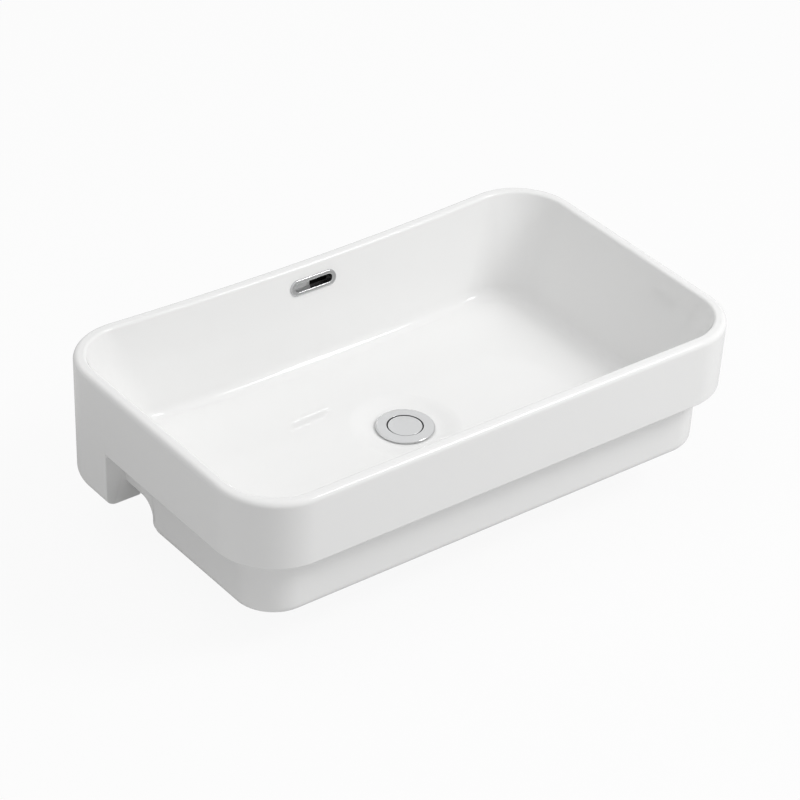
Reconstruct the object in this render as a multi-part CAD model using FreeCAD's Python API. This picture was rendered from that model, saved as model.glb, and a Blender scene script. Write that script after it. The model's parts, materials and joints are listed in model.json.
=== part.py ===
import FreeCAD, Part
import math
import os

# Semi recessed basin with its overflow trim and its push-to-open waste. Millimetres.
# Origin: centre of the basin in plan, on the plane of the worktop that the band rests on. +Z is
# up, +Y points to the long side with the skirt. The pieces are drawn with the rim at Z 0 and
# moved to that origin at the end.

V = FreeCAD.Vector

# ---- basin, outside ----
WIDTH = 600.0            # over the band, left to right
DEPTH = 355.0            # over the band, front to back
PLAN_R = 66.0            # outer corners seen from above
BACK_HOLLOW = 8.0        # how far the edge over the skirt curves in at its middle
BAND_H = 75.0            # height of the band round the rim
BAND_DRAFT = 1.5         # what the band loses each side down to its lower edge
RIM_ROUND = 5.5          # outer rounding of the rim
RIM_INNER_ROUND = 3.5    # inner rounding of the rim
EDGE_ROUND = 1.5         # lower edge of the band and upright edges of the skirt

# ---- tub under the band ----
TUB_INSET = 23.0         # step from the band to the tub
TUB_BELOW = 27.5         # tub below the underside of the bowl
TUB_DRAFT = 1.8
TUB_ROUND = 9.0          # all its lower and rear edges
TUB_WALL = 18.0
GROOVE_W = 41.5          # between the tub's rear wall and the skirt
TUB_HEEL = 10.0          # its lower edge
TUB_IN_R = 20.0          # corners of the hollow inside the tub
FLOOR_T = 13.5           # bowl's floor at its edge to the underside behind the tub
TUB_COVE = 14.0          # inside corner where the tub's rear wall meets that underside

# ---- rear skirt ----
SKIRT_BELOW = 18.0       # skirt below the underside of the bowl
SKIRT_ROUND = 10.0
SKIRT_RUN = 100.5        # front face of the skirt to the back line
SKIRT_FRONT_WALL = 13.0
SKIRT_SIDE_WALL = 27.0
SKIRT_IN_R = 14.0        # inside corners of the skirt at its front wall
SKIRT_BACK_WALL = 12.0

# ---- bowl ----
RIM_W = 12.0             # rim, measured flat across
BOWL_DEPTH = 104.5       # rim to the floor at its edge
BOWL_SIDE_IN = 52.0      # plan inset of the side walls at the floor
BOWL_BACK_IN = 35.0
BOWL_FRONT_IN = 44.0     # hidden in any view over the rim; leaves 11 mm of wall at the tub
BOWL_BASE_ROUND = 18.0
DISH_R = 58.0            # shallow dish round the waste
DRAIN_FROM_REAR = 42.5   # waste to the tub's rear wall
DISH_DROP = 3.7          # seat of the waste flange below the floor
SEAT_LAND = 3.0          # flat seat outside the flange

# ---- drain boss and overflow duct ----
DRAIN_HOLE_R = 23.0
BOSS_R = 40.0
BOSS_BELOW = 1.0         # boss below the tub
DUCT_X = 11.0            # centre of the duct, right of the middle
DUCT_W = 26.0
DUCT_T = 7.0
DUCT_SKIN = 8.0          # ceramic round the duct under the floor
DUCT_ROUND = 6.0         # lower edges of that ceramic
DUCT_BACK_SKIN = 6.0     # ceramic between the duct and the back face
DUCT_BELOW = 9.5         # top of the run under the bowl's floor

# ---- overflow trim ----
TRIM_DEPTH = 21.0        # rim to the centre of the trim
TRIM_L = 56.0
TRIM_H = 17.0
TRIM_LIP = 1.6
TRIM_ROUND = 1.0
SLOT_L = 46.0
SLOT_H = 8.6
SLEEVE_WALL = 1.0
SLEEVE_LEN = 8.0
TRIM_SEAL_T = 0.9
TRIM_SEAL_LEN = 4.0
TRIM_HOLE_GAP = 0.1      # sleeve seal to the ceramic
TRIM_HOLE_DEEP = 10.0

# ---- waste body ----
FLANGE_R = 30.0
FLANGE_T = 2.2
FLANGE_EDGE = 1.0        # upright edge of the flange under its rounding
FLANGE_SEAL_T = 1.0
FLANGE_SEAL_W = 4.0
FLANGE_SEAL_BACK = 1.0   # how far the seal stands back from the flange's edge
THREAD_R = 20.95
BORE_R = 17.0
CUP_R = 18.6             # recess that the plug closes
CUP_DEEP = 8.0
TUBE_BELOW_NUT = 27.7    # thread below the nut
TAIL_LEN = 24.0          # end of the thread that is left free for the trap
RELIEF_W = 2.0           # groove above that end
RELIEF_DEEP = 0.8
SLOTS = 6
SLOT_W = 8.0
SLOT_TALL = 13.0
SPIDER_T = 3.0
SPIDER_TALL = 4.0
SPIDER_BELOW = 40.0      # under the flange, top of the spider
SPIDER_ROOT = 0.5        # how far its arms run into the tube
HUB_R = 6.5
STUD_R = 4.0
THREAD_GAP = 0.05        # between a screw and its thread, as modelled

# ---- plug and its cartridge ----
CAP_GAP = 1.2            # plug cap to the flange, all round
CAP_T = 3.0
CAP_CROWN = 0.4
PLUG_SEAL_T = 2.4
PLUG_SEAL_GAP = 0.1      # plug seal to the recess
CAP_BOSS_R = 5.0
CAP_BOSS_LEN = 5.0
STEM_R = 3.2
COLLAR_R = 5.9
COLLAR_T = 3.0
SPIGOT_R = 2.5
ROTOR_T = 3.2
ROTOR_GAP = 0.1
ROTOR_END_GAP = 0.3
LUGS = 4
LUG_W = 1.6
LUG_REACH = 0.4          # lugs beyond the collar; the ring between them stands back as much
LUG_DROP = 0.6           # lugs below the top of the ring
SLEEVE_R = 8.0
SLEEVE_BORE_R = 6.9
SLEEVE_TOP_T = 1.5
SLEEVE_TOP_GAP = 0.3     # stem in the sleeve's top
BASE_T = 3.0
STUD_LEN = 9.0
SPRING_WIRE_R = 0.45
SPRING_R = 4.6
SPRING_TURNS = 6
SPRING_STEPS = 16        # rings of the wire in a turn
WIRE_SIDES = 8
PLUG_RISE = 9.0          # how far the plug stands up when open
PLUG_PRESS = 1.5         # how far it is pushed below closed to let go
STOP_GAP = 0.5           # collar to the sleeve's top when open

# ---- washers and nut under the basin ----
TAPER_T = 10.0
TAPER_R = 31.0
TAPER_NOSE_R = 27.0
SLIP_T = 2.0
NUT_T = 9.0
NUT_ACROSS = 56.0
NUT_FLANGE_R = 31.0
NUT_FLANGE_T = 2.5
NUT_BEVEL = 2.0          # bevel of the lower corners, across
NUT_BEVEL_H = 1.2        # and up
WASHER_GAP = 0.3         # washers to the waste body

# ---- worked out from the sizes above ----
HALF_W = WIDTH / 2
HALF_D = DEPTH / 2
SKIRT_FRONT_Y = HALF_D - SKIRT_RUN
TUB_REAR_Y = SKIRT_FRONT_Y - GROOVE_W
DRAIN_Y = TUB_REAR_Y - DRAIN_FROM_REAR
BLOCK_DEPTH = BOWL_DEPTH + FLOOR_T
TUB_DEPTH = BLOCK_DEPTH + TUB_BELOW
SKIRT_DEPTH = BLOCK_DEPTH + SKIRT_BELOW
SEAT_DEPTH = BOWL_DEPTH + DISH_DROP
BOSS_DEPTH = TUB_DEPTH + BOSS_BELOW
DUCT_RUN_TOP = BOWL_DEPTH + DUCT_BELOW
OVER = 2.0               # how far cutting tools run past what they cut
SEAT_Z = -SEAT_DEPTH
FLANGE_Z = SEAT_Z + FLANGE_SEAL_T
FLANGE_TOP = FLANGE_Z + FLANGE_T
CAP_R = CUP_R - CAP_GAP
CAP_UNDER = FLANGE_TOP - CAP_T
PLUG_SEAL_Z = CAP_UNDER - PLUG_SEAL_T
SPIDER_TOP = FLANGE_Z - SPIDER_BELOW
BODY_END = -BOSS_DEPTH - TAPER_T - SLIP_T - NUT_T - TUBE_BELOW_NUT
BASE_TOP = SPIDER_TOP + BASE_T
CAP_BOSS_END = CAP_UNDER - CAP_BOSS_LEN
SLEEVE_TOP = CAP_BOSS_END - PLUG_PRESS - STOP_GAP
COLLAR_TOP = SLEEVE_TOP - SLEEVE_TOP_T - PLUG_RISE - STOP_GAP
COLLAR_END = COLLAR_TOP - COLLAR_T
ROTOR_TOP = COLLAR_END - ROTOR_END_GAP
ROTOR_END = ROTOR_TOP - ROTOR_T
BOSS_Z = -BOSS_DEPTH
BACK_SLOPE = (BOWL_BACK_IN - RIM_W) / BOWL_DEPTH


def cylinder(radius, low, high, x=0.0, y=0.0):
    """Upright cylinder between two heights."""
    return Part.makeCylinder(radius, high - low, V(x, y, low), V(0, 0, 1))


def drain_cylinder(radius, low, high):
    """Upright cylinder on the axis of the waste."""
    return cylinder(radius, low, high, 0.0, DRAIN_Y)


def drain_ring(outer, inner, low, high):
    """Upright ring on the axis of the waste."""
    return drain_cylinder(outer, low, high).cut(drain_cylinder(inner, low - OVER, high + OVER))


def box(x0, x1, y0, y1, z0, z1):
    """Box between two corners."""
    return Part.makeBox(x1 - x0, y1 - y0, z1 - z0, V(x0, y0, z0))


def turned(points, centre=(0.0, 0.0)):
    """Solid turned about an upright axis from its half section of (radius, height)."""
    corners = [V(centre[0] + r, centre[1], z) for r, z in points]
    face = Part.Face(Part.makePolygon(corners + corners[:1]))
    return face.revolve(V(centre[0], centre[1], 0), V(0, 0, 1), 360)


def hollow_at(x):
    """How far the back edge has curved in at a distance from the middle."""
    return BACK_HOLLOW * max(0.0, 1 - (x / (HALF_W - PLAN_R)) ** 2)


def plan(half, front, back, z, corner_r):
    """Four-edged outline: straight front and sides, and a back edge that curves in as an arc.

    The arc stands on the back line where the round corners begin, so its ends, which the
    corners cut off, lie beyond that line."""
    past = BACK_HOLLOW * (half / (half - corner_r)) ** 2 - BACK_HOLLOW
    a, b = V(-half, -front, z), V(half, -front, z)
    c, d = V(half, back + past, z), V(-half, back + past, z)
    rear = Part.Arc(c, V(0, back - BACK_HOLLOW, z), d).toShape()
    return Part.Wire([Part.makeLine(a, b), Part.makeLine(b, c), rear, Part.makeLine(d, a)])


def straight_plan(half, front, back, z):
    """Four-edged outline with straight sides all round."""
    corners = [V(-half, -front, z), V(half, -front, z), V(half, back, z), V(-half, back, z)]
    return Part.makePolygon(corners + corners[:1])


def middle_of(edge):
    """Point halfway along an edge."""
    return edge.valueAt((edge.FirstParameter + edge.LastParameter) / 2)


def upright_edges(shape, low, high, keep=lambda point: True):
    """Edges that climb the full height between two levels, and whose middle passes a test."""
    found = []
    for edge in shape.Edges:
        bounds = edge.BoundBox
        full = bounds.ZMin < low + 0.01 and bounds.ZMax > high - 0.01
        if full and keep(middle_of(edge)):
            found.append(edge)
    return found


def level_edges(shape, z, keep=lambda point: True):
    """Edges that lie flat at one height, and whose middle passes a test."""
    found = []
    for edge in shape.Edges:
        bounds = edge.BoundBox
        flat = bounds.ZMax - bounds.ZMin < 0.01 and abs(bounds.ZMin - z) < 0.01
        if flat and keep(middle_of(edge)):
            found.append(edge)
    return found


def drafted_block(top, low, corner_r):
    """Block between two outlines, (half width, front, back, z) each, with round corners."""
    block = Part.makeLoft([plan(*low, corner_r), plan(*top, corner_r)], True, True)
    return block.makeFillet(corner_r, upright_edges(block, low[3], top[3]))


def oblong(length, height, thickness):
    """Flat bar with round ends, length along X, height along Z, thickness along -Y from Y 0."""
    r = height / 2
    run = length / 2 - r
    bar = box(-run, run, -thickness, 0, -r, r)
    for side in (-1, 1):
        end = Part.makeCylinder(r, thickness, V(side * run, 0, 0), V(0, -1, 0))
        bar = bar.fuse(end)
    return bar.removeSplitter()


def outer_block():
    """Outside of the band and of the rear skirt, as one drafted form."""
    slope = BAND_DRAFT / BAND_H
    lose = slope * SKIRT_DEPTH
    top = (HALF_W, HALF_D, HALF_D, 0.0)
    low = (HALF_W - lose, HALF_D - lose, HALF_D, -SKIRT_DEPTH)
    block = drafted_block(top, low, PLAN_R)
    block = block.makeFillet(SKIRT_ROUND, level_edges(block, -SKIRT_DEPTH))
    far = HALF_W + OVER
    return block.cut(box(-far, far, -HALF_D - OVER, SKIRT_FRONT_Y, -SKIRT_DEPTH - OVER, -BAND_H))


def tub_block():
    """Tub under the band, with the deeper part of the bowl behind it.

    The tub's lower edge runs on up its rear corners and back along the bowl in one rounding."""
    half = HALF_W - TUB_INSET
    front = HALF_D - TUB_INSET
    back = SKIRT_FRONT_Y + SKIRT_FRONT_WALL / 2
    reach = BAND_H / 2
    top = straight_plan(half, front, back, -reach)
    low = straight_plan(half - TUB_DRAFT, front - TUB_DRAFT, back, -TUB_DEPTH)
    block = Part.makeLoft([low, top], True, True)
    front_corners = upright_edges(block, -TUB_DEPTH, -reach, lambda p: p.y < 0)
    block = block.makeFillet(PLAN_R - TUB_INSET, front_corners)
    behind = box(-HALF_W, HALF_W, TUB_REAR_Y, back + OVER, -TUB_DEPTH - OVER, -BLOCK_DEPTH)
    cove = level_edges(behind, -BLOCK_DEPTH, lambda p: p.y < TUB_REAR_Y + 1)
    block = block.cut(behind.makeFillet(TUB_COVE, cove))
    heel = level_edges(block, -TUB_DEPTH, lambda p: p.y > TUB_REAR_Y - 1)
    block = block.makeFillet(TUB_HEEL, heel)
    lower = level_edges(block, -TUB_DEPTH, lambda p: p.y < TUB_REAR_Y - TUB_HEEL - 1)
    return block.makeFillet(TUB_ROUND, lower)


def bowl_hollow():
    """Space inside the bowl."""
    slopes = [(i - RIM_W) / BOWL_DEPTH for i in (BOWL_SIDE_IN, BOWL_FRONT_IN, BOWL_BACK_IN)]
    corner_r = PLAN_R - RIM_W
    side, front, back = (RIM_W - OVER * s for s in slopes)
    top = (HALF_W - side, HALF_D - front, HALF_D - back, OVER)
    low = (HALF_W - BOWL_SIDE_IN, HALF_D - BOWL_FRONT_IN, HALF_D - BOWL_BACK_IN, -BOWL_DEPTH)
    space = drafted_block(top, low, corner_r)
    return space.makeFillet(BOWL_BASE_ROUND, level_edges(space, -BOWL_DEPTH))


def dish_hollow():
    """Shallow dish round the waste, a smooth bell in section, down to the flat seat."""
    flat = FLANGE_R + SEAT_LAND
    steps = 12
    points = [(0.0, SEAT_Z), (flat, SEAT_Z)]
    for i in range(1, steps + 1):
        t = i / steps
        points.append((flat + (DISH_R - flat) * t, SEAT_Z + DISH_DROP * t * t * (3 - 2 * t)))
    curve = Part.BSplineCurve()
    curve.interpolate([V(r, DRAIN_Y, z) for r, z in points[1:]])
    top = SEAT_Z + DISH_DROP + OVER
    edges = [Part.makeLine(V(0, DRAIN_Y, SEAT_Z), V(flat, DRAIN_Y, SEAT_Z)), curve.toShape(),
             Part.makeLine(V(DISH_R, DRAIN_Y, SEAT_Z + DISH_DROP), V(DISH_R, DRAIN_Y, top)),
             Part.makeLine(V(DISH_R, DRAIN_Y, top), V(0, DRAIN_Y, top)),
             Part.makeLine(V(0, DRAIN_Y, top), V(0, DRAIN_Y, SEAT_Z))]
    face = Part.Face(Part.Wire(edges))
    return face.revolve(V(0, DRAIN_Y, 0), V(0, 0, 1), 360)


def set_in_back(shape):
    """Sets a piece drawn at Y 0 on the inner face of the back wall, at the overflow."""
    tilt = -math.degrees(math.atan(BACK_SLOPE))
    y = HALF_D - RIM_W - BACK_SLOPE * TRIM_DEPTH - BACK_HOLLOW
    placed = shape.copy()
    placed.rotate(V(0, 0, 0), V(1, 0, 0), tilt)
    placed.translate(V(0, y, -TRIM_DEPTH))
    return placed


def duct_spaces():
    """Overflow passage: down inside the back wall, then forward under the floor."""
    back = HALF_D - BACK_HOLLOW - DUCT_BACK_SKIN
    x0, x1 = DUCT_X - DUCT_W / 2, DUCT_X + DUCT_W / 2
    run_low = -DUCT_RUN_TOP - DUCT_T
    down = box(x0, x1, back - DUCT_T, back, run_low, -TRIM_DEPTH + SLOT_H / 2)
    run = box(x0, x1, DRAIN_Y, back, run_low, -DUCT_RUN_TOP)
    return down, run


def duct_cover():
    """Ceramic round the run of the duct under the floor."""
    half = DUCT_W / 2 + DUCT_SKIN
    low = -DUCT_RUN_TOP - DUCT_T - DUCT_SKIN
    cover = box(DUCT_X - half, DUCT_X + half, DRAIN_Y, HALF_D - SKIRT_BACK_WALL, low,
                -BLOCK_DEPTH + OVER)
    lower = level_edges(cover, low, lambda p: abs(p.x - DUCT_X) > half - 1)
    return cover.makeFillet(DUCT_ROUND, lower)


def under_hollows():
    """Open undersides of the tub and of the rear skirt."""
    half = HALF_W - TUB_INSET - TUB_WALL
    front = HALF_D - TUB_INSET - TUB_WALL
    tub = box(-half, half, -front, TUB_REAR_Y - TUB_WALL, -TUB_DEPTH - OVER, -BLOCK_DEPTH)
    corners = upright_edges(tub, -TUB_DEPTH - OVER, -BLOCK_DEPTH)
    tub = tub.makeFillet(TUB_IN_R, corners)
    side = HALF_W - SKIRT_SIDE_WALL
    near = SKIRT_FRONT_Y + SKIRT_FRONT_WALL
    far = HALF_D - BACK_HOLLOW - SKIRT_BACK_WALL
    skirt = box(-side, side, near, far, -SKIRT_DEPTH - OVER, -BLOCK_DEPTH)
    ends = (-SKIRT_DEPTH - OVER, -BLOCK_DEPTH)
    skirt = skirt.makeFillet(SKIRT_IN_R, upright_edges(skirt, *ends, lambda p: p.y < near + 1))
    skirt = skirt.makeFillet(PLAN_R - SKIRT_SIDE_WALL, upright_edges(skirt, *ends, lambda p: p.y > far - 1))
    return tub, skirt


def exposed_edges(body):
    """Lower edge of the band, and the two upright edges at the front of the skirt."""
    band = level_edges(body, -BAND_H, lambda p: rim_side(p) > 0)
    sides = upright_edges(body, -SKIRT_DEPTH + SKIRT_ROUND, -BAND_H,
                          lambda p: abs(p.y - SKIRT_FRONT_Y) < EDGE_ROUND and rim_side(p) > 0)
    return band + sides


def basin_body():
    """The one-piece glazed basin."""
    body = outer_block().fuse(tub_block()).removeSplitter()
    body = body.makeFillet(EDGE_ROUND, exposed_edges(body))
    body = body.cut(bowl_hollow())
    body = body.makeFillet(RIM_ROUND, level_edges(body, 0, lambda p: rim_side(p) > 0))
    body = body.makeFillet(RIM_INNER_ROUND, level_edges(body, 0, lambda p: rim_side(p) < 0))
    body = body.cut(dish_hollow())
    for space in under_hollows():
        body = body.cut(space)
    body = body.fuse(drain_cylinder(BOSS_R, BOSS_Z, -BLOCK_DEPTH + OVER))
    body = body.fuse(duct_cover())
    body = body.removeSplitter()
    cuts = [drain_cylinder(DRAIN_HOLE_R, BOSS_Z - OVER, SEAT_Z + OVER)]
    cuts += duct_spaces()
    hole = 2 * (SLEEVE_WALL + TRIM_SEAL_T + TRIM_HOLE_GAP)
    mouth = oblong(SLOT_L + hole, SLOT_H + hole, TRIM_HOLE_DEEP + 2 * OVER)
    mouth.translate(V(0, TRIM_HOLE_DEEP, 0))
    cuts.append(set_in_back(mouth))
    for tool in cuts:
        body = body.cut(tool)
    return body


def rim_side(point):
    """Positive on the outer edge of the rim, negative on its inner edge."""
    corner_x = HALF_W - PLAN_R
    corner_y = HALF_D - PLAN_R
    dx, dy = max(0.0, abs(point.x) - corner_x), max(0.0, abs(point.y) - corner_y)
    if point.y > 0 and dx == 0:
        dy += hollow_at(point.x)
    return math.hypot(dx, dy) - (PLAN_R - RIM_W / 2)


def overflow_trim():
    """Chromed oblong ring with the sleeve that goes into the wall."""
    lip = oblong(TRIM_L, TRIM_H, TRIM_LIP)
    front = [e for e in lip.Edges if e.BoundBox.YMax < -TRIM_LIP + 0.01]
    lip = lip.makeFillet(TRIM_ROUND, front)
    sleeve = oblong(SLOT_L + 2 * SLEEVE_WALL, SLOT_H + 2 * SLEEVE_WALL, SLEEVE_LEN)
    sleeve.translate(V(0, SLEEVE_LEN, 0))
    ring = lip.fuse(sleeve).removeSplitter()
    slot = oblong(SLOT_L, SLOT_H, SLEEVE_LEN + TRIM_LIP + 2 * OVER)
    slot.translate(V(0, SLEEVE_LEN + OVER, 0))
    return set_in_back(ring.cut(slot))


def overflow_seal():
    """Rubber band round the sleeve, which grips the hole."""
    grow = 2 * (SLEEVE_WALL + TRIM_SEAL_T)
    outer = oblong(SLOT_L + grow, SLOT_H + grow, TRIM_SEAL_LEN)
    inner = oblong(SLOT_L + 2 * SLEEVE_WALL, SLOT_H + 2 * SLEEVE_WALL, TRIM_SEAL_LEN + 2 * OVER)
    inner.translate(V(0, OVER, 0))
    ring = outer.cut(inner)
    ring.translate(V(0, TRIM_SEAL_LEN + TRIM_SEAL_T, 0))
    return set_in_back(ring)


def waste_body():
    """Flange, slotted threaded tube and the spider inside it, in one chromed casting."""
    rise = FLANGE_T - FLANGE_EDGE
    tail = BODY_END + TAIL_LEN
    relief = THREAD_R - RELIEF_DEEP
    section = [(BORE_R, BODY_END), (THREAD_R, BODY_END), (THREAD_R, tail), (relief, tail),
               (relief, tail + RELIEF_W), (THREAD_R, tail + RELIEF_W), (THREAD_R, FLANGE_Z),
               (FLANGE_R, FLANGE_Z),
               (FLANGE_R, FLANGE_Z + FLANGE_EDGE), (FLANGE_R - rise / 2, FLANGE_TOP - rise / 4),
               (FLANGE_R - 2 * rise, FLANGE_TOP), (CUP_R, FLANGE_TOP), (CUP_R, FLANGE_TOP - CUP_DEEP),
               (BORE_R, FLANGE_TOP - CUP_DEEP - (CUP_R - BORE_R))]
    body = turned(section, (0.0, DRAIN_Y))
    slot_top = -DUCT_RUN_TOP + (SLOT_TALL - DUCT_T) / 2
    for i in range(SLOTS):
        cut = box(BORE_R - OVER, THREAD_R + OVER, -SLOT_W / 2, SLOT_W / 2, slot_top - SLOT_TALL, slot_top)
        cut.rotate(V(0, 0, 0), V(0, 0, 1), 90 + 360 * i / SLOTS)
        cut.translate(V(0, DRAIN_Y, 0))
        body = body.cut(cut)
    low = SPIDER_TOP - SPIDER_TALL
    reach = BORE_R + SPIDER_ROOT
    for angle in (0, 90):
        bar = box(-reach, reach, -SPIDER_T / 2, SPIDER_T / 2, low, SPIDER_TOP)
        bar.rotate(V(0, 0, 0), V(0, 0, 1), angle)
        bar.translate(V(0, DRAIN_Y, 0))
        body = body.fuse(bar)
    body = body.fuse(drain_cylinder(HUB_R, low, SPIDER_TOP)).removeSplitter()
    return body.cut(drain_cylinder(STUD_R + THREAD_GAP, low - OVER, SPIDER_TOP + OVER))


def flange_seal():
    """Soft ring between the flange and the glaze."""
    outer = FLANGE_R - FLANGE_SEAL_BACK
    return drain_ring(outer, outer - FLANGE_SEAL_W, SEAT_Z, FLANGE_Z)


def plug_cap():
    """Flush cap with a slight crown, and the boss that screws on the stem."""
    section = [(0.0, CAP_BOSS_END), (CAP_BOSS_R, CAP_BOSS_END), (CAP_BOSS_R, CAP_UNDER),
               (CAP_R, CAP_UNDER), (CAP_R, FLANGE_TOP - CAP_CROWN)]
    steps = 5
    for i in range(1, steps):
        t = i / steps
        section.append((CAP_R * (1 - t), FLANGE_TOP - CAP_CROWN * (1 - t) ** 2))
    section.append((0.0, FLANGE_TOP))
    cap = turned(section, (0.0, DRAIN_Y))
    return cap.cut(drain_cylinder(STEM_R + THREAD_GAP, CAP_BOSS_END - OVER, CAP_UNDER))


def plug_seal():
    """Rubber ring under the cap."""
    outer = CUP_R - PLUG_SEAL_GAP
    return drain_ring(outer, CAP_BOSS_R + THREAD_GAP, PLUG_SEAL_Z, CAP_UNDER)


def plug_stem():
    """Stem with its collar, and the spigot that the index ring turns on."""
    stem = drain_cylinder(STEM_R, COLLAR_TOP, CAP_UNDER)
    stem = stem.fuse(drain_cylinder(COLLAR_R, COLLAR_END, COLLAR_TOP))
    stem = stem.fuse(drain_cylinder(SPIGOT_R, ROTOR_END, COLLAR_END))
    return stem.removeSplitter()


def index_ring():
    """Ring with lugs that turns a step at each push and holds the plug down or lets it up."""
    ring = drain_cylinder(COLLAR_R - LUG_REACH, ROTOR_END, ROTOR_TOP)
    for i in range(LUGS):
        lug = box(0, COLLAR_R + LUG_REACH, -LUG_W / 2, LUG_W / 2, ROTOR_END, ROTOR_TOP - LUG_DROP)
        lug.rotate(V(0, 0, 0), V(0, 0, 1), 360 * i / LUGS)
        lug.translate(V(0, DRAIN_Y, 0))
        ring = ring.fuse(lug)
    hole = drain_cylinder(SPIGOT_R + ROTOR_GAP, ROTOR_END - OVER, ROTOR_TOP + OVER)
    return ring.cut(hole).removeSplitter()


def cartridge_sleeve():
    """Tube that guides the stem, closed at its top but for the stem's hole."""
    tube = drain_ring(SLEEVE_R, SLEEVE_BORE_R, BASE_TOP, SLEEVE_TOP)
    top = drain_ring(SLEEVE_R, STEM_R + SLEEVE_TOP_GAP, SLEEVE_TOP - SLEEVE_TOP_T, SLEEVE_TOP)
    return tube.fuse(top).removeSplitter()


def cartridge_base():
    """Foot of the cartridge, with the stud that screws into the spider."""
    foot = drain_cylinder(SLEEVE_R, SPIDER_TOP, BASE_TOP)
    return foot.fuse(drain_cylinder(STUD_R, SPIDER_TOP - STUD_LEN, SPIDER_TOP)).removeSplitter()


def plug_spring():
    """Coil spring between the foot and the index ring, its wire drawn with flat sides."""
    height = ROTOR_END - BASE_TOP - 2 * SPRING_WIRE_R
    count = SPRING_STEPS * SPRING_TURNS
    pitch_slope = height / (2 * math.pi * SPRING_TURNS * SPRING_R)
    rings = []
    for i in range(count + 1):
        angle = 2 * math.pi * i / SPRING_STEPS
        out = V(math.cos(angle), math.sin(angle), 0)
        across = V(pitch_slope * math.sin(angle), -pitch_slope * math.cos(angle), 1)
        across.normalize()
        centre = out * SPRING_R + V(0, DRAIN_Y, BASE_TOP + SPRING_WIRE_R + height * i / count)
        turns = [2 * math.pi * k / WIRE_SIDES for k in range(WIRE_SIDES)]
        corners = [centre + out * (SPRING_WIRE_R * math.cos(t)) + across * (SPRING_WIRE_R * math.sin(t))
                   for t in turns]
        rings.append(Part.makePolygon(corners + corners[:1]))
    return Part.makeLoft(rings, True, True)


def taper_washer():
    """Rubber washer whose nose goes up into the drain hole's mouth."""
    inner = THREAD_R + WASHER_GAP
    section = [(inner, BOSS_Z - TAPER_T), (TAPER_R, BOSS_Z - TAPER_T), (TAPER_R, BOSS_Z - TAPER_T / 2),
               (TAPER_NOSE_R, BOSS_Z), (inner, BOSS_Z)]
    return turned(section, (0.0, DRAIN_Y))


def slip_washer():
    """Thin plastic washer that the nut slides on."""
    top = BOSS_Z - TAPER_T
    return drain_ring(TAPER_R, THREAD_R + WASHER_GAP, top - SLIP_T, top)


def back_nut():
    """Six-sided nut with its flange, on the thread of the waste body."""
    top = BOSS_Z - TAPER_T - SLIP_T
    low = top - NUT_T
    radius = NUT_ACROSS / math.sqrt(3)
    corners = []
    for i in range(6):
        angle = math.radians(60 * i)
        corners.append(V(radius * math.cos(angle), DRAIN_Y + radius * math.sin(angle), low))
    face = Part.Face(Part.makePolygon(corners + corners[:1]))
    nut = face.extrude(V(0, 0, NUT_T - NUT_FLANGE_T))
    cone = turned([(0, low), (radius - NUT_BEVEL, low), (radius, low + NUT_BEVEL_H),
                   (radius, top), (0, top)], (0.0, DRAIN_Y))
    nut = nut.common(cone).fuse(drain_cylinder(NUT_FLANGE_R, top - NUT_FLANGE_T, top))
    return nut.cut(drain_cylinder(THREAD_R + THREAD_GAP, low - OVER, top + OVER)).removeSplitter()


PIECES = [basin_body, overflow_trim, overflow_seal, waste_body, flange_seal, plug_cap, plug_seal,
          plug_stem, index_ring, cartridge_sleeve, cartridge_base, plug_spring, taper_washer,
          slip_washer, back_nut]


def main():
    os.makedirs("parts", exist_ok=True)
    for make in PIECES:
        shape = make()
        shape.translate(V(0, 0, BAND_H))
        print(make.__name__, shape.isValid(), len(shape.Solids), round(shape.Volume, 1))
        shape.exportStep("parts/%s.step" % make.__name__)


main()
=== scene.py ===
"""Semi recessed basin: glazed body, overflow trim, push-to-open waste and its fixings.

Lengths inside the shape functions are millimetres from the top of the rim, as the part was drawn.
to_row() moves them to the frame of the part, in metres."""

import json
import math

import bmesh
import bpy
import numpy as np
from bpy.props import FloatProperty, FloatVectorProperty, IntProperty, PointerProperty
from mathutils import Matrix, Vector


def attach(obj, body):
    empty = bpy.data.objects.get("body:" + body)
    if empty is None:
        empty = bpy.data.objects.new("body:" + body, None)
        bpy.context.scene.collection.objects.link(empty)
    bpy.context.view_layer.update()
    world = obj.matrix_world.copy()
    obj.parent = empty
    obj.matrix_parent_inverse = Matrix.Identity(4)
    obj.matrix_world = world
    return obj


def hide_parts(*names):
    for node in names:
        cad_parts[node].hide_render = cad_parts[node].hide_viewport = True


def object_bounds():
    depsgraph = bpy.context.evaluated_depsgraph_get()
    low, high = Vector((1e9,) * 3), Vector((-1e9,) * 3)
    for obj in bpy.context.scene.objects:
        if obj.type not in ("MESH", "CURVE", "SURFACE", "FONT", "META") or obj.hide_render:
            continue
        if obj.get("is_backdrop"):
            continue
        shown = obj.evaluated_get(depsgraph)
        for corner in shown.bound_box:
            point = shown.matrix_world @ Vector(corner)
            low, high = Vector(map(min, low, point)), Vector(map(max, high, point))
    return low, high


bl_info = {
    "name": "Semi recessed basin",
    "version": (1, 0, 0),
    "blender": (4, 5, 0),
    "location": "3D View > Sidebar > Basin",
    "description": "Glazed basin with its overflow, waste and fixings, and a plain studio round it",
    "category": "Object",
}

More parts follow.
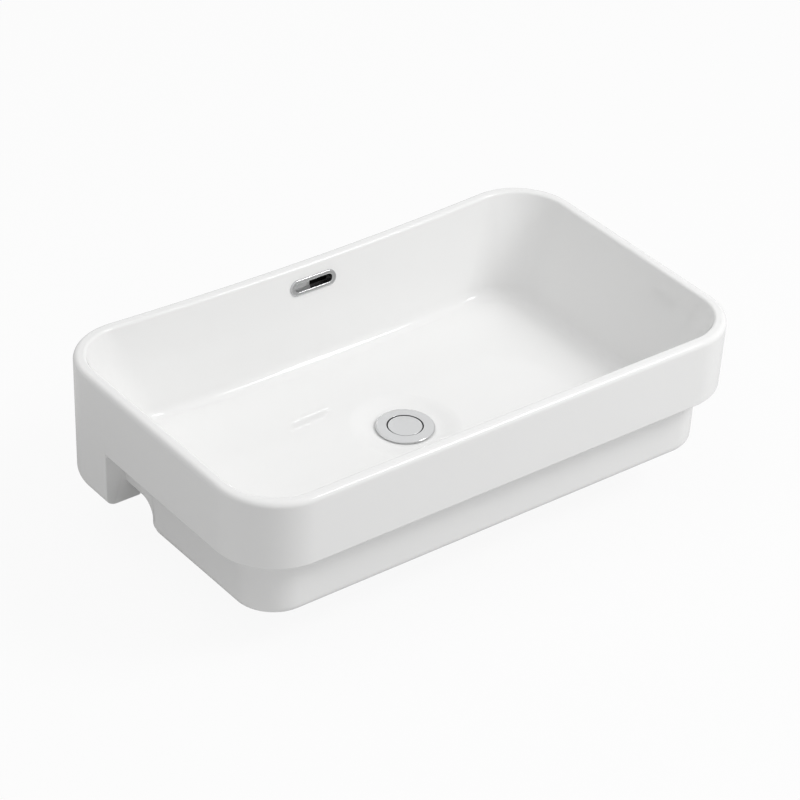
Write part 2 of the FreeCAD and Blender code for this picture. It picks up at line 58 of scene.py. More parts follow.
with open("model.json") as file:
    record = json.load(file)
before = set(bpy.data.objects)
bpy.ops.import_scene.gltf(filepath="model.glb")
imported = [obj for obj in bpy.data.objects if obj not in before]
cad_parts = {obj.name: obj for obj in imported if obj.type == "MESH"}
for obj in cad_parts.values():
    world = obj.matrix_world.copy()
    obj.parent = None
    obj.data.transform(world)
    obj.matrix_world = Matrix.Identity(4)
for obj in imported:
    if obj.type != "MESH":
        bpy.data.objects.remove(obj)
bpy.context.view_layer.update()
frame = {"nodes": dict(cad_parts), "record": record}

# ---- the ceramic body, millimetres ----
BAND_H = 75.0
HALF_W = 300.0
HALF_D = 177.5
PLAN_R = 66.0
BOW = 8.0                 # how far the rear edge bows in
RIM_W = 12.0
BAND_LEAN = 1.5           # the outside leans in by this at the band's lower edge
SKIRT_LEAN = 2.72         # and by this at the skirt's
EDGE_R = 1.5              # rounding of the band's lower edge and the skirt's cheeks
BACK_SLOPE = 23.0 / 104.5
FLOOR_Z = -104.5
UNDER_Z = -117.9          # ceiling of the hollows
BLOCK_Z = -118.0          # underside behind the tub
BURIED_Z = -112.0         # where shells end inside the clay
# half width, front, back and corner radius
FLOOR_PLAN = (248.0, 133.5, 142.5, 54.0)
UNDER_PLAN = (270.0, 147.5, 147.5, 40.0)
CEILING_PLAN = (255.0, 132.5, 132.5, 30.0)

SPLIT_Y = 77.0            # near face of the skirt
SKIRT_Z = -136.0
HOLLOW_Y = 90.0           # near wall of the skirt's hollow
HOLLOW_R = 14.0           # its near corners
HOLLOW_HALF_W, HOLLOW_BACK, HOLLOW_FAR_R = 273.0, 157.5, 39.0

TUB_Z = -145.5
TUB_HALF_W, TUB_FRONT, TUB_CORNER = 277.0, 154.5, 43.0
TUB_EDGE_R = 9.0
TUB_DRAFT, DRAFT_TOP = 1.8, -37.5
TUB_REAR_Y = 35.5
COVE_R, HEEL_R = 14.0, 10.0
CUT_Y = TUB_REAR_Y - HEEL_R
TUB_TOP_Z = -70.0         # the tub's sides end here, inside the band
IN_HALF_W, IN_FRONT, IN_REAR, IN_CORNER = 259.0, 136.5, 17.5, 20.0
FOLD_X, FOLD_IN_X, FOLD_Z = 270.0, 255.0, -106.0

# ---- the waste, the overflow and the fixings, millimetres ----
DRAIN = np.array((0.0, -7.0))
HOLE_R = 23.0
SEAT_Z = -108.2
SEAT_R, DISH_R, DISH_DROP = 33.0, 58.0, 3.7
FLANGE_TOP, FLANGE_Z, FLANGE_R = -105.0, -107.2, 30.0
CUP_R = 18.6              # recess that the plug closes
CUP_Z = -113.0
CAP_R = CUP_R - 1.2
CAP_Z = -108.0            # underside of the cap's edge
BORE_R = 17.0
THREAD_R = 20.95
THREAD_TOP = -127.0
TUBE_END = -195.2
BOSS_R, BOSS_Z = 40.0, -146.5
ARM_LOW, ARM_HIGH = -151.2, -147.2
WASHER_BORE, WASHER_R = 21.25, 31.0
TAPER_LOW, SLIP_LOW = -156.5, -158.5
MOUTH_DROP = 21.0         # rim to the middle of the overflow's mouth
MOUTH_RUN, MOUTH_R = 18.7, 6.2

# ---- box round the overflow's duct, where the glaze is painted near black as painted shade, metres in the frame of the part ----
DUCT_SHADE_LOW = (0.003, 0.1555, -0.0405)
DUCT_SHADE_HIGH = (0.0245, 0.166, 0.0625)

# ---- the studio, metres, and the camera of the photograph, degrees and metres ----
KEY_PLACE, KEY_SIZE = (1.9, -1.9, 2.6), 2.0
GLINT_PLACE, GLINT_SIZE, GLINT_SHARE = (1.8, -1.8, 2.463), 0.9, 0.5
FILL_PLACE, FILL_SIZE, FILL_SHARE = (-1.2, 0.6, 3.0), 2.2, 0.34
FLOOR_REACH, FLOOR_GAP, FLOOR_GLOW = 12.0, 0.001, 0.92
CAMERA_TURN, CAMERA_RISE, CAMERA_ROLL = -38.41, 33.56, 2.58
CAMERA_AIM, CAMERA_AWAY = (-0.00247, 0.0, -0.003), 3.2058
SENSOR_W = 36.0


# ---------------------------------------------------------------- settings

class BasinGlazeSettings(bpy.types.PropertyGroup):
    colour: FloatVectorProperty(
        name="Glaze", description="Colour of the glaze", subtype="COLOR", size=3,
        min=0.0, max=1.0, default=(0.865, 0.865, 0.86))
    roughness: FloatProperty(
        name="Roughness", description="How blurred the glaze reflects", min=0.0, max=1.0,
        subtype="FACTOR", default=0.045)
    ripple: FloatProperty(
        name="Ripple", description="Depth of the soft unevenness of the glaze", min=0.0, max=1.0,
        subtype="FACTOR", default=0.02)
    corner_steps: IntProperty(
        name="Corner steps", description="Divisions of each round corner", min=6, max=80,
        default=30)
    fillet_steps: IntProperty(
        name="Rounding steps", description="Divisions of the larger roundings", min=3, max=30,
        default=12)


class BasinMetalSettings(bpy.types.PropertyGroup):
    chrome: FloatVectorProperty(
        name="Chrome", description="Colour of the plated parts", subtype="COLOR", size=3,
        min=0.0, max=1.0, default=(0.66, 0.665, 0.67))
    waste_roughness: FloatProperty(
        name="Waste roughness", description="How satin the flange and the plug are", min=0.0,
        max=1.0, subtype="FACTOR", default=0.24)
    trim_roughness: FloatProperty(
        name="Trim roughness", description="How satin the overflow trim is", min=0.0, max=1.0,
        subtype="FACTOR", default=0.2)
    brass: FloatVectorProperty(
        name="Brass", description="Colour of the bare brass", subtype="COLOR", size=3,
        min=0.0, max=1.0, default=(0.66, 0.47, 0.22))
    thread_pitch: FloatProperty(
        name="Thread pitch", description="Distance between the turns of the thread",
        unit="LENGTH", min=0.0005, max=0.005, default=0.00231)
    thread_depth: FloatProperty(
        name="Thread depth", description="Depth of the thread under its crests",
        unit="LENGTH", min=0.0, max=0.002, default=0.0009)


class BasinStageSettings(bpy.types.PropertyGroup):
    floor: FloatVectorProperty(
        name="Floor", description="Colour of the floor", subtype="COLOR", size=3,
        min=0.0, max=1.0, default=(0.72, 0.72, 0.72))
    world: FloatProperty(
        name="Sky light", description="Strength of the even light from all round", min=0.0,
        max=5.0, default=0.48)
    key: FloatProperty(
        name="Key light", description="Power of the large soft lamp", unit="POWER", min=0.0,
        max=500.0, default=50.0)
    lens: FloatProperty(
        name="Lens", description="Focal length of the camera", subtype="DISTANCE_CAMERA",
        min=10.0, max=500.0, default=145.7)


# ---------------------------------------------------------------- shader words

class Value:
    """A shader socket that takes plain arithmetic."""

    def __init__(self, shader, socket):
        self.shader = shader
        self.socket = socket

    def _math(self, operation, first, second):
        return self.shader.node("ShaderNodeMath", {"operation": operation}, {0: first, 1: second})

    def __add__(self, other):
        return self._math("ADD", self, other)

    __radd__ = __add__

    def __mul__(self, other):
        return self._math("MULTIPLY", self, other)

    __rmul__ = __mul__

    def __gt__(self, other):
        return self._math("GREATER_THAN", self, other)

    def __lt__(self, other):
        return self._math("LESS_THAN", self, other)


class Finish:
    """One material, built from its nodes."""

    def __init__(self, name, metallic=0.0, roughness=0.5, **plain):
        self.material = bpy.data.materials.new(name)
        self.material.use_nodes = True
        self.tree = self.material.node_tree
        self.skin = self.tree.nodes["Principled BSDF"]
        self.set("Metallic", metallic)
        self.set("Roughness", roughness)
        for socket, value in plain.items():
            self.set(socket.replace("_", " "), value)

    def node(self, kind, settings=None, inputs=None, output=0):
        made = self.tree.nodes.new(kind)
        for key, value in (settings or {}).items():
            setattr(made, key, value)
        for key, value in (inputs or {}).items():
            self.feed(made.inputs[key], value)
        return Value(self, made.outputs[output])

    def feed(self, socket, value):
        if isinstance(value, Value):
            self.tree.links.new(value.socket, socket)
        else:
            socket.default_value = value

    def set(self, socket, value):
        if hasattr(value, "__len__"):
            value = (*value[:3], 1.0) if len(value) == 3 else value
        self.feed(self.skin.inputs[socket], value)

    def place(self):
        return self.node("ShaderNodeTexCoord", output=3)

    def noise(self, scale, detail=2.0):
        return self.node("ShaderNodeTexNoise", {},
                         {"Vector": self.place(), "Scale": scale, "Detail": detail})

    def blend(self, factor, first, second):
        ends = [end if isinstance(end, Value) else (*end, 1.0) for end in (first, second)]
        return self.node("ShaderNodeMix", {"data_type": "RGBA"},
                         {0: factor, 6: ends[0], 7: ends[1]}, 2)

    def within(self, low, high):
        """1 inside a box in the frame of the part and 0 outside it."""
        inside = 1.0
        for axis in range(3):
            along = self.node("ShaderNodeSeparateXYZ", {}, {"Vector": self.place()}, axis)
            inside = (along > low[axis]) * (along < high[axis]) * inside
        return inside

    def bump(self, height, strength, distance):
        return self.node("ShaderNodeBump", {},
                         {"Height": height, "Strength": strength, "Distance": distance})


def scaled_colour(colour, by):
    return tuple(min(1.0, c * by) for c in colour)


def glaze_finish(settings):
    """White glaze, nearly even in colour, glossy, with a very soft ripple.

    Inside the overflow's duct it is painted near black: painted shade where little light would get
    in."""
    colour = tuple(settings.colour)
    f = Finish("basin_glaze", roughness=settings.roughness)
    skin = f.blend(f.noise(9.0), scaled_colour(colour, 0.995), scaled_colour(colour, 1.005))
    # painted shade: the glaze is near black inside the box round the overflow's duct
    f.set("Base Color", f.blend(f.within(DUCT_SHADE_LOW, DUCT_SHADE_HIGH), skin, (0.012, 0.012, 0.012)))
    f.set("Normal", f.bump(f.noise(30.0), settings.ripple, 0.001))
    return f.material


def chrome_finish(name, colour, roughness):
    """Plating with a faint unevenness in its gloss."""
    f = Finish(name, metallic=1.0)
    f.set("Base Color", tuple(colour))
    f.set("Roughness", f.noise(60.0) * 0.05 + (roughness - 0.025))
    return f.material


def brass_finish(settings):
    """Bare turned brass, a little darker in patches."""
    colour = tuple(settings.brass)
    f = Finish("turned_brass", metallic=1.0, roughness=0.27)
    f.set("Base Color", f.blend(f.noise(120.0, 3.0), scaled_colour(colour, 0.86), scaled_colour(colour, 1.1)))
    return f.material


def steel_finish():
    """Drawn spring wire."""
    f = Finish("spring_wire", metallic=1.0)
    f.set("Base Color", (0.55, 0.56, 0.57))
    f.set("Roughness", f.noise(400.0) * 0.12 + 0.2)
    return f.material


def rubber_finish():
    """Dull black rubber with a fine grain."""
    f = Finish("black_seal_rubber", roughness=0.62)
    f.set("Base Color", f.blend(f.noise(200.0), (0.018, 0.018, 0.019), (0.034, 0.034, 0.035)))
    f.set("Normal", f.bump(f.noise(900.0), 0.15, 0.0002))
    return f.material


def pale_seal_finish():
    """Soft pale ring under the flange."""
    f = Finish("pale_seal", roughness=0.42)
    f.set("Base Color", f.blend(f.noise(150.0), (0.62, 0.63, 0.62), (0.68, 0.69, 0.68)))
    return f.material


def plastic_finish():
    """Moulded white plastic."""
    f = Finish("white_moulding", roughness=0.44)
    f.set("Base Color", f.blend(f.noise(80.0), (0.78, 0.78, 0.76), (0.82, 0.82, 0.8)))
    f.set("Normal", f.bump(f.noise(700.0), 0.08, 0.0001))
    return f.material


# ---------------------------------------------------------------- surfaces

def to_row(points):
    """Drawn millimetres below the rim to metres in the frame of the part."""
    return (points + np.array((0.0, 0.0, BAND_H))) * 0.001


def grid_quads(rows, cols, close_rows=False, close_cols=True):
    """Index quads of a grid of rows by columns, each direction closed on itself or open."""
    i = np.arange(rows if close_rows else rows - 1)
    j = np.arange(cols if close_cols else cols - 1)
    i, j = np.meshgrid(i, j, indexing="ij")
    up, on = (i + 1) % rows, (j + 1) % cols
    return np.stack((i * cols + j, i * cols + on, up * cols + on, up * cols + j), -1).reshape(-1, 4)


def mesh_piece(name, shells, material, sharp=32.0, weld=2e-6):
    """One object from (grid, close rows, close columns) shells.

    They are welded, turned outwards and smooth but for their sharp edges."""
    verts, quads, base = [], [], 0
    for grid, close_rows, close_cols in shells:
        rows, cols = grid.shape[:2]
        verts.append(to_row(grid.reshape(-1, 3)))
        quads.append(grid_quads(rows, cols, close_rows, close_cols) + base)
        base += rows * cols
    verts, quads = np.concatenate(verts), np.concatenate(quads)
    mesh = bpy.data.meshes.new(name)
    mesh.vertices.add(len(verts))
    mesh.vertices.foreach_set("co", verts.astype(np.float32).ravel())
    mesh.loops.add(quads.size)
    mesh.loops.foreach_set("vertex_index", quads.astype(np.int32).ravel())
    mesh.polygons.add(len(quads))
    mesh.polygons.foreach_set("loop_start", np.arange(0, quads.size, 4, dtype=np.int32))
    mesh.update(calc_edges=True)
    bm = bmesh.new()
    bm.from_mesh(mesh)
    bmesh.ops.remove_doubles(bm, verts=bm.verts, dist=weld)
    bmesh.ops.dissolve_degenerate(bm, edges=bm.edges, dist=weld)
    bmesh.ops.recalc_face_normals(bm, faces=bm.faces)
    bm.to_mesh(mesh)
    bm.free()
    obj = bpy.data.objects.new(name, mesh)
    bpy.context.scene.collection.objects.link(obj)
    smooth(obj, sharp)
    if material is not None:
        mesh.materials.append(material)
    return obj


def smooth(obj, sharp):
    """Smooth faces, with the edges over an angle kept sharp."""
    mesh = obj.data
    mesh.polygons.foreach_set("use_smooth", np.ones(len(mesh.polygons), bool))
    mesh.set_sharp_from_angle(angle=math.radians(sharp))
    mesh.update()


def cut_away(obj, cutters, sharp=32.0):
    """Takes the cutters out of a piece and removes them."""
    for cutter in cutters:
        step = obj.modifiers.new("cut", "BOOLEAN")
        step.operation, step.solver, step.object = "DIFFERENCE", "EXACT", cutter
    graph = bpy.context.evaluated_depsgraph_get()
    made = bpy.data.meshes.new_from_object(obj.evaluated_get(graph))
    obj.modifiers.clear()
    old, obj.data = obj.data, made
    bpy.data.meshes.remove(old)
    made.name = obj.name
    for cutter in cutters:
        data = cutter.data
        bpy.data.objects.remove(cutter)
        bpy.data.meshes.remove(data)
    smooth(obj, sharp)


def unit(v):
    length = np.linalg.norm(v, axis=-1, keepdims=True)
    return v / np.maximum(length, 1e-9)


def rounded(chain, radii, steps):
    """Rows along a chain of corners, each corner turned into an arc of its radius.

    For corner P with directions a and b to its neighbours, phi apart: the arc's centre lies on
    a + b, radius / sin(phi / 2) from P, and it meets the sides radius / tan(phi / 2) from P. A
    row just outside each end of an arc keeps the flat next to it flat."""
    rows = [chain[0]]
    for k in range(1, len(chain) - 1):
        corner = chain[k]
        radius = np.broadcast_to(np.asarray(radii[k - 1], float), corner.shape[:1])[:, None]
        a, b = unit(chain[k - 1] - corner), unit(chain[k + 1] - corner)
        half = np.arccos(np.clip((a * b).sum(-1, keepdims=True), -1.0, 1.0)) / 2
        half = np.clip(half, 0.05, math.pi / 2 - 1e-4)
        reach = radius / np.tan(half)
        centre = corner + unit(a + b) * radius / np.sin(half)
        first, last = corner + a * reach, corner + b * reach
        e1 = unit(first - centre)
        side = last - centre
        e2 = unit(side - (side * e1).sum(-1, keepdims=True) * e1)
        sweep = math.pi - 2 * half
        margin = np.where(radius > 0, 0.25 + 0.06 * radius, 0.0)
        if steps[k - 1] > 1:
            rows.append(first + a * margin)
        for t in np.linspace(0.0, 1.0, steps[k - 1]):
            arc = centre + radius * (np.cos(t * sweep) * e1 + np.sin(t * sweep) * e2)
            rows.append(np.where(radius > 0, arc, corner))
        if steps[k - 1] > 1:
            rows.append(last + b * margin)
    rows.append(chain[-1])
    return np.stack(rows)


def at(points, z):
    """Plan points lifted to a height."""
    return np.column_stack((points, np.broadcast_to(z, len(points))))


# ---------------------------------------------------------------- the basin

SKIRT_Y = np.concatenate((
    SPLIT_Y + EDGE_R * (1 - np.cos(np.radians((0, 22.5, 45, 67.5, 90)))),
    (84.0, HOLLOW_Y), HOLLOW_Y + HOLLOW_R * (1 - np.cos(np.radians((18, 36, 54, 72, 90))))))


def corner_start(half, back, corner, bow):
    """Where the round rear corner leaves the straight side, and the circle of the bowed edge.

    The bowed edge is an arc through its middle, bow in from the line, and through the ends past
    that line. The corner's circle touches the side from inside and that arc from outside."""
    if bow == 0:
        return back - corner, None, None
    rise = bow * (half / (half - corner)) ** 2
    big = (half * half + rise * rise) / (2 * rise)
    centre = back - bow + big
    return centre - math.sqrt((big + corner) ** 2 - (half - corner) ** 2), big, centre


OUTER_START = corner_start(HALF_W, HALF_D, PLAN_R, BOW)[0]


def plan(half, front, back, corner, steps, bow=BOW):
    """Closed outline from the split on the right, over the skirt to the split on the left, then
    round the front: straight sides, round corners, and a rear edge that bows in."""
    start, big, centre = corner_start(half, back, corner, bow)
    share = (SKIRT_Y - SPLIT_Y) / (OUTER_START - SPLIT_Y)
    side = np.column_stack((np.full(len(share), half), SPLIT_Y + share * (start - SPLIT_Y)))
    end = math.pi / 2 if big is None else math.pi / 2 + math.asin((half - corner) / (big + corner))
    turn = np.linspace(0.0, end, steps)
    round_rear = np.column_stack((half - corner + corner * np.cos(turn),
                                  start + corner * np.sin(turn)))
    x = np.linspace(round_rear[-1, 0], 0.0, 36)[1:-1]
    y = np.full(len(x), back) if big is None else centre - np.sqrt(big * big - x * x)
    right = np.concatenate((side, round_rear, np.column_stack((x, y))))
    skirt = np.concatenate((right, [(0.0, back - bow)], right[::-1] * (-1, 1)))
    y = np.linspace(SPLIT_Y, corner - front, 22)
    side = np.column_stack((np.full(len(y), -half), y))
    turn = np.linspace(math.pi, 1.5 * math.pi, steps)[1:]
    round_front = np.column_stack((corner - half + corner * np.cos(turn),
                                   corner - front + corner * np.sin(turn)))
    x = np.linspace(corner - half, 0.0, 30)[1:-1]
    left = np.concatenate((side, round_front, np.column_stack((x, np.full(len(x), -front)))))
    band = np.concatenate((left, [(0.0, -front)], left[::-1] * (-1, 1)))
    return skirt, band


def skirt_hollow(steps):
    """Outline of the hollow in the skirt, with its own radius at its near corners."""
    inner, _ = plan(HOLLOW_HALF_W, HALF_D, HOLLOW_BACK, HOLLOW_FAR_R, steps, 0.0)
    n = len(SKIRT_Y)
    back_off = np.clip(HOLLOW_R - (SKIRT_Y - HOLLOW_Y), 0.0, HOLLOW_R)
    x = HOLLOW_HALF_W - (HOLLOW_R - np.sqrt(HOLLOW_R ** 2 - back_off ** 2))
    inner[:n] = np.column_stack((x, SKIRT_Y))
    inner[-n:] = (inner[:n] * (-1, 1))[::-1]
    return inner


def bowl_shell(settings):
    """Bowl, rim, band and skirt as one closed ring.

    Columns run round the plan. Along each column the rows go from the drain hole up the dish and
    the bowl's wall, over the rim and down the outside, then back in underneath. Two columns lie
    on the same line at each end of the skirt, and the rows between them are its flat cheek."""
    n, m = settings.corner_steps, settings.fillet_steps

    def whole(z, *sizes):
        return at(np.concatenate(plan(*sizes, n)), z)

    foot = whole(FLOOR_Z, *FLOOR_PLAN)
    lip = whole(0.0, HALF_W - RIM_W, HALF_D - RIM_W, HALF_D - RIM_W, PLAN_R - RIM_W)
    rim = whole(0.0, HALF_W, HALF_D, HALF_D, PLAN_R)
    edge = whole(-BAND_H, HALF_W - BAND_LEAN, HALF_D - BAND_LEAN, HALF_D, PLAN_R)
    low = whole(SKIRT_Z, HALF_W - SKIRT_LEAN, HALF_D - SKIRT_LEAN, HALF_D, PLAN_R)
    under = whole(-BAND_H, *UNDER_PLAN)
    deep = under - (0.0, 0.0, 33.0)
    ceiling = whole(UNDER_Z, *CEILING_PLAN)
    hollow = skirt_hollow(n)
    count = len(hollow)
    ring = np.zeros(len(foot), bool)
    ring[:count] = True

    k = len(SKIRT_Y)
    close = np.clip(EDGE_R - (SKIRT_Y - SPLIT_Y), 0.0, EDGE_R)
    slim = EDGE_R - np.sqrt(EDGE_R ** 2 - close ** 2)
    start = edge.copy()
    start[count:] = (edge[count:] + under[count:]) / 2
    for outline in (start, low):
        outline[:k, 0] -= slim
        outline[count - k:count, 0] += slim[::-1]
    low[count:] = under[count:]
    mouth = deep.copy()
    mouth[:count] = at(hollow, SKIRT_Z)
    ceiling[:count] = at(hollow, UNDER_Z)

    way = unit(foot[:, :2] - DRAIN)

    def circle(radius, z):
        return at(DRAIN + way * radius, z)

    dish = [circle(radius, SEAT_Z) for radius in (HOLE_R, 28.0, SEAT_R - 0.4, SEAT_R)]
    for t in np.linspace(0.0, 1.0, 15)[1:-1]:
        dish.append(circle(SEAT_R + (DISH_R - SEAT_R) * t,
                           SEAT_Z + DISH_DROP * t * t * (3 - 2 * t)))
    shell = rounded(
        [circle(DISH_R, FLOOR_Z), foot, lip, rim, edge, start, low, mouth, ceiling],
        [18.0, 3.5, 5.5, np.where(ring, 0.0, EDGE_R), 0.0, np.where(ring, 10.0, 0.0),
         np.where(ring, 1.0, 0.0)],
        [m + 2, 7, 9, 5, 1, m, 4])
    hole = circle(HOLE_R, UNDER_Z)
    flat = ceiling + (hole - ceiling) * 0.02
    rows = np.concatenate((np.stack(dish), shell, flat[None], hole[None]))
    return rows, True, True


def tub_draft(z):
    """How far the tub's sides lean in at a height."""
    return TUB_DRAFT * (-z + DRAFT_TOP) / (DRAFT_TOP - TUB_Z)


def tub_shell(settings):
    """The tub: a ring round its open underside, with a rounded lower edge.

    Its rear side is a plain cut inside the rear wall, which the next shell carries."""
    n, m = settings.corner_steps, settings.fillet_steps
    rear = 40

    def outline(half, front, corner, back, z, z_rear, rear_y):
        y = np.linspace(back, corner - front, 14)
        side = np.column_stack((np.full(len(y), half), y))
        turn = np.linspace(0.0, -math.pi / 2, n)[1:]
        arc = np.column_stack((half - corner + corner * np.cos(turn),
                               corner - front + corner * np.sin(turn)))
        x = np.linspace(half - corner, 0.0, 20)[1:-1]
        right = np.concatenate((side, arc, np.column_stack((x, np.full(len(x), -front)))))
        loop = np.concatenate((right, [(0.0, -front)], right[::-1] * (-1, 1)))
        x = np.linspace(-265.0, 265.0, rear)
        behind = np.column_stack((x, np.full(rear, rear_y)))
        return np.concatenate((at(loop, z), at(behind, z_rear)))

    lean = tub_draft(TUB_TOP_Z)
    top = outline(TUB_HALF_W - lean, TUB_FRONT - lean, TUB_CORNER, CUT_Y,
                  TUB_TOP_Z, BURIED_Z, CUT_Y)
    foot = outline(TUB_HALF_W - TUB_DRAFT, TUB_FRONT - TUB_DRAFT, TUB_CORNER, CUT_Y,
                   TUB_Z, TUB_Z, CUT_Y)
    start, straight = IN_REAR - IN_CORNER, IN_HALF_W - IN_CORNER
    hole = outline(IN_HALF_W, IN_FRONT, IN_CORNER, start, TUB_Z, TUB_Z, IN_REAR)
    turn = np.linspace(0.0, math.pi / 2, 9)
    left = np.column_stack((-straight - IN_CORNER * np.cos(turn),
                            start + IN_CORNER * np.sin(turn)))
    x = np.linspace(-straight, straight, rear - 16)[1:-1]
    flat = np.column_stack((x, np.full(len(x), IN_REAR)))
    hole[-rear:] = at(np.concatenate((left, flat, (left * (-1, 1))[::-1])), TUB_Z)
    roof = hole.copy()
    roof[:, 2] = BURIED_Z
    inner_low = outline(268.0, 146.0, 38.0, CUT_Y, -110.0, -114.0, 21.5)
    inner_top = outline(270.5, 148.0, 38.0, CUT_Y, TUB_TOP_Z, BURIED_Z, 21.5)
    sides = np.arange(len(top)) < len(top) - rear
    rows = rounded([inner_top, top, foot, hole, roof, inner_low, inner_top],
                   [0.0, np.where(sides, TUB_EDGE_R, 0.0), 1.0, 0.0, 0.0], [1, m, 4, 1, 1])
    return rows, False, True


def rear_shell(settings):
    """Rear wall of the tub, its cove, and the bowl's underside behind it.

    The section in Y and Z is carried across X. At each end the surface turns into the side over a
    rounding: 1 - cos of its turns gives the step in along X, and 1 - sin of them the step back
    along the section's normal."""
    m = settings.fillet_steps
    arc = np.linspace(0.0, math.pi / 2, m + 2)
    cove = np.column_stack((TUB_REAR_Y + COVE_R - COVE_R * np.sin(arc),
                            BLOCK_Z - COVE_R + COVE_R * np.cos(arc)))
    cove_n = np.column_stack((np.sin(arc), -np.cos(arc)))
    heel = np.column_stack((CUT_Y + HEEL_R * np.cos(arc),
                            TUB_Z + HEEL_R - HEEL_R * np.sin(arc)))
    heel_n = np.column_stack((np.cos(arc), -np.sin(arc)))
    roof = np.column_stack((np.linspace(83.5, 49.8, 5), np.full(5, BLOCK_Z)))
    roof_n = np.tile((0.0, -1.0), (5, 1))
    line = np.concatenate((roof, cove, heel))
    out = np.concatenate((roof_n, cove_n, heel_n))

    def section(x_in, depth):
        """Points at a step in from the side and a depth back along the normal."""
        yz = line - out * depth
        return np.column_stack((TUB_HALF_W - tub_draft(yz[:, 1]) - x_in, yz))

    def level(x, z):
        return np.column_stack((np.full(len(line), x), line[:, 0], np.full(len(line), z)))

    high, past = -72.0, TUB_EDGE_R + 0.8
    right = [level(FOLD_X, high), level(TUB_HALF_W - tub_draft(high), high), section(0.0, past)]
    for t in np.linspace(0.0, math.pi / 2, m):
        right.append(section(TUB_EDGE_R - TUB_EDGE_R * math.cos(t),
                             TUB_EDGE_R - TUB_EDGE_R * math.sin(t)))
    right += [section(past, 0.0), section(140.0, 0.0)]
    left = [p * (-1, 1, 1) for p in right[::-1]]
    inner = [level(-FOLD_X, FOLD_Z), level(-FOLD_IN_X, BURIED_Z),
             level(FOLD_IN_X, BURIED_Z), level(FOLD_X, FOLD_Z)]
    columns = np.stack(right + left + inner, axis=1)
    ends = [cap_row(columns[0]), columns, cap_row(columns[-1])]
    return np.concatenate(ends), False, True


def cap_row(loop):
    """A closing row for an end: the outer half of the loop folded on to its inner half."""
    folded = loop.copy()
    half = len(loop) - 4
    x = np.linspace(FOLD_X, -FOLD_X, half - 4)
    out = np.clip(np.abs(x) - FOLD_IN_X, 0.0, None)
    z = BURIED_Z + out * (FOLD_Z - BURIED_Z) / (FOLD_X - FOLD_IN_X)
    folded[2:half - 2] = np.column_stack((x, np.full(len(x), loop[0, 1]), z))
    folded[0] = folded[1] = loop[0]
    folded[half - 1] = folded[half - 2] = loop[half - 1]
    return folded[None]


def bar_shell(section, radii, steps, low, high, along):
    """A section of (across, z) carried between two places, its ends closed at its middle."""
    section = [np.array([p], float) for p in section]
    loop = rounded([section[-1], *section, section[0]], radii, steps)[1:-1, 0]
    rows = []
    centre = np.broadcast_to(loop.mean(0), loop.shape)
    for place, ring in ((low, centre), (low, loop), (high, loop), (high, centre)):
        if along == "x":
            rows.append(np.column_stack((np.full(len(ring), place), ring[:, 0], ring[:, 1])))
        else:
            rows.append(np.column_stack((ring[:, 0], np.full(len(ring), place), ring[:, 1])))
    return np.stack(rows), False, True


def turned_shell(section, columns=96, close=True):
    """A half section of (radius, z) turned about the axis of the waste."""
    section = np.asarray(section, float)
    turn = np.linspace(0.0, 2 * math.pi, columns, endpoint=False)
    x = DRAIN[0] + section[:, :1] * np.cos(turn)
    y = DRAIN[1] + section[:, :1] * np.sin(turn)
    z = np.broadcast_to(section[:, 1:], x.shape)
    return np.stack((x, y, z), -1), close, True


def threaded(grid, top, low, pitch, depth):
    """Cuts a thread into the outer rows of a turned grid between two heights.

    The radius is scaled back from the crest by the depth times a tooth: half of 1 minus the cosine
    of a full turn of (height over the pitch minus the angle over one turn), flattened by a clip.
    It fades in and out over one pitch."""
    offset = grid[..., :2] - DRAIN
    radius = np.linalg.norm(offset, axis=-1)
    z = grid[..., 2]
    turns = z / pitch - np.arctan2(offset[..., 1], offset[..., 0]) / (2 * math.pi)
    tooth = np.clip(1.6 * (0.5 - 0.5 * np.cos(2 * math.pi * turns)) - 0.3, 0.0, 1.0)
    fade = np.clip((top - z) / pitch, 0.0, 1.0) * np.clip((z - low) / pitch, 0.0, 1.0)
    outer = np.abs(radius - THREAD_R) < 0.01
    scale = np.where(outer, 1.0 - depth * tooth * fade / THREAD_R, 1.0)
    cut = grid.copy()
    cut[..., :2] = DRAIN + offset * scale[..., None]
    return cut


def soft_section(points, radii, steps=5):
    """Closed half section with its corners rounded."""
    flat = [np.array([(r, z, 0.0)]) for r, z in points]
    rows = rounded([flat[-1], *flat, flat[0]], radii, [steps if r else 1 for r in radii])
    return rows[1:-1, 0, :2]


def oblong_rows(rows, columns=20):
    """Rows of (run, radius, depth) round an oblong: two half circles, run apart from the middle."""
    turn = np.linspace(-math.pi / 2, math.pi / 2, columns)
    made = []
    for run, radius, depth in rows:
        right = np.column_stack((run + radius * np.cos(turn), np.full(columns, depth),
                                 radius * np.sin(turn)))
        made.append(np.concatenate((right, right * (-1, 1, -1))))
    return np.stack(made)


def set_in_back(points):
    """Leans a piece drawn at Y 0 back on to the inner face of the rear wall."""
    tilt = -math.atan(BACK_SLOPE)
    x, y, z = points[..., 0], points[..., 1], points[..., 2]
    place = HALF_D - RIM_W - BACK_SLOPE * MOUTH_DROP - BOW
    return np.stack((x, place + y * math.cos(tilt) - z * math.sin(tilt),
                     -MOUTH_DROP + y * math.sin(tilt) + z * math.cos(tilt)), -1)


def finish_node(name, material):
    """Gives the material to a CAD node that stays as it is."""
    node = frame["nodes"][name]
    node.data.materials.clear()
    node.data.materials.append(material)


def body_of_node(name):
    """The body that a CAD node belongs to."""
    return next(b for b, nodes in frame["record"]["behaviour"]["bodies"].items() if name in nodes)


def stand_in(obj, node):
    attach(obj, body_of_node(node))
    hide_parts(node)


# ---------------------------------------------------------------- operators

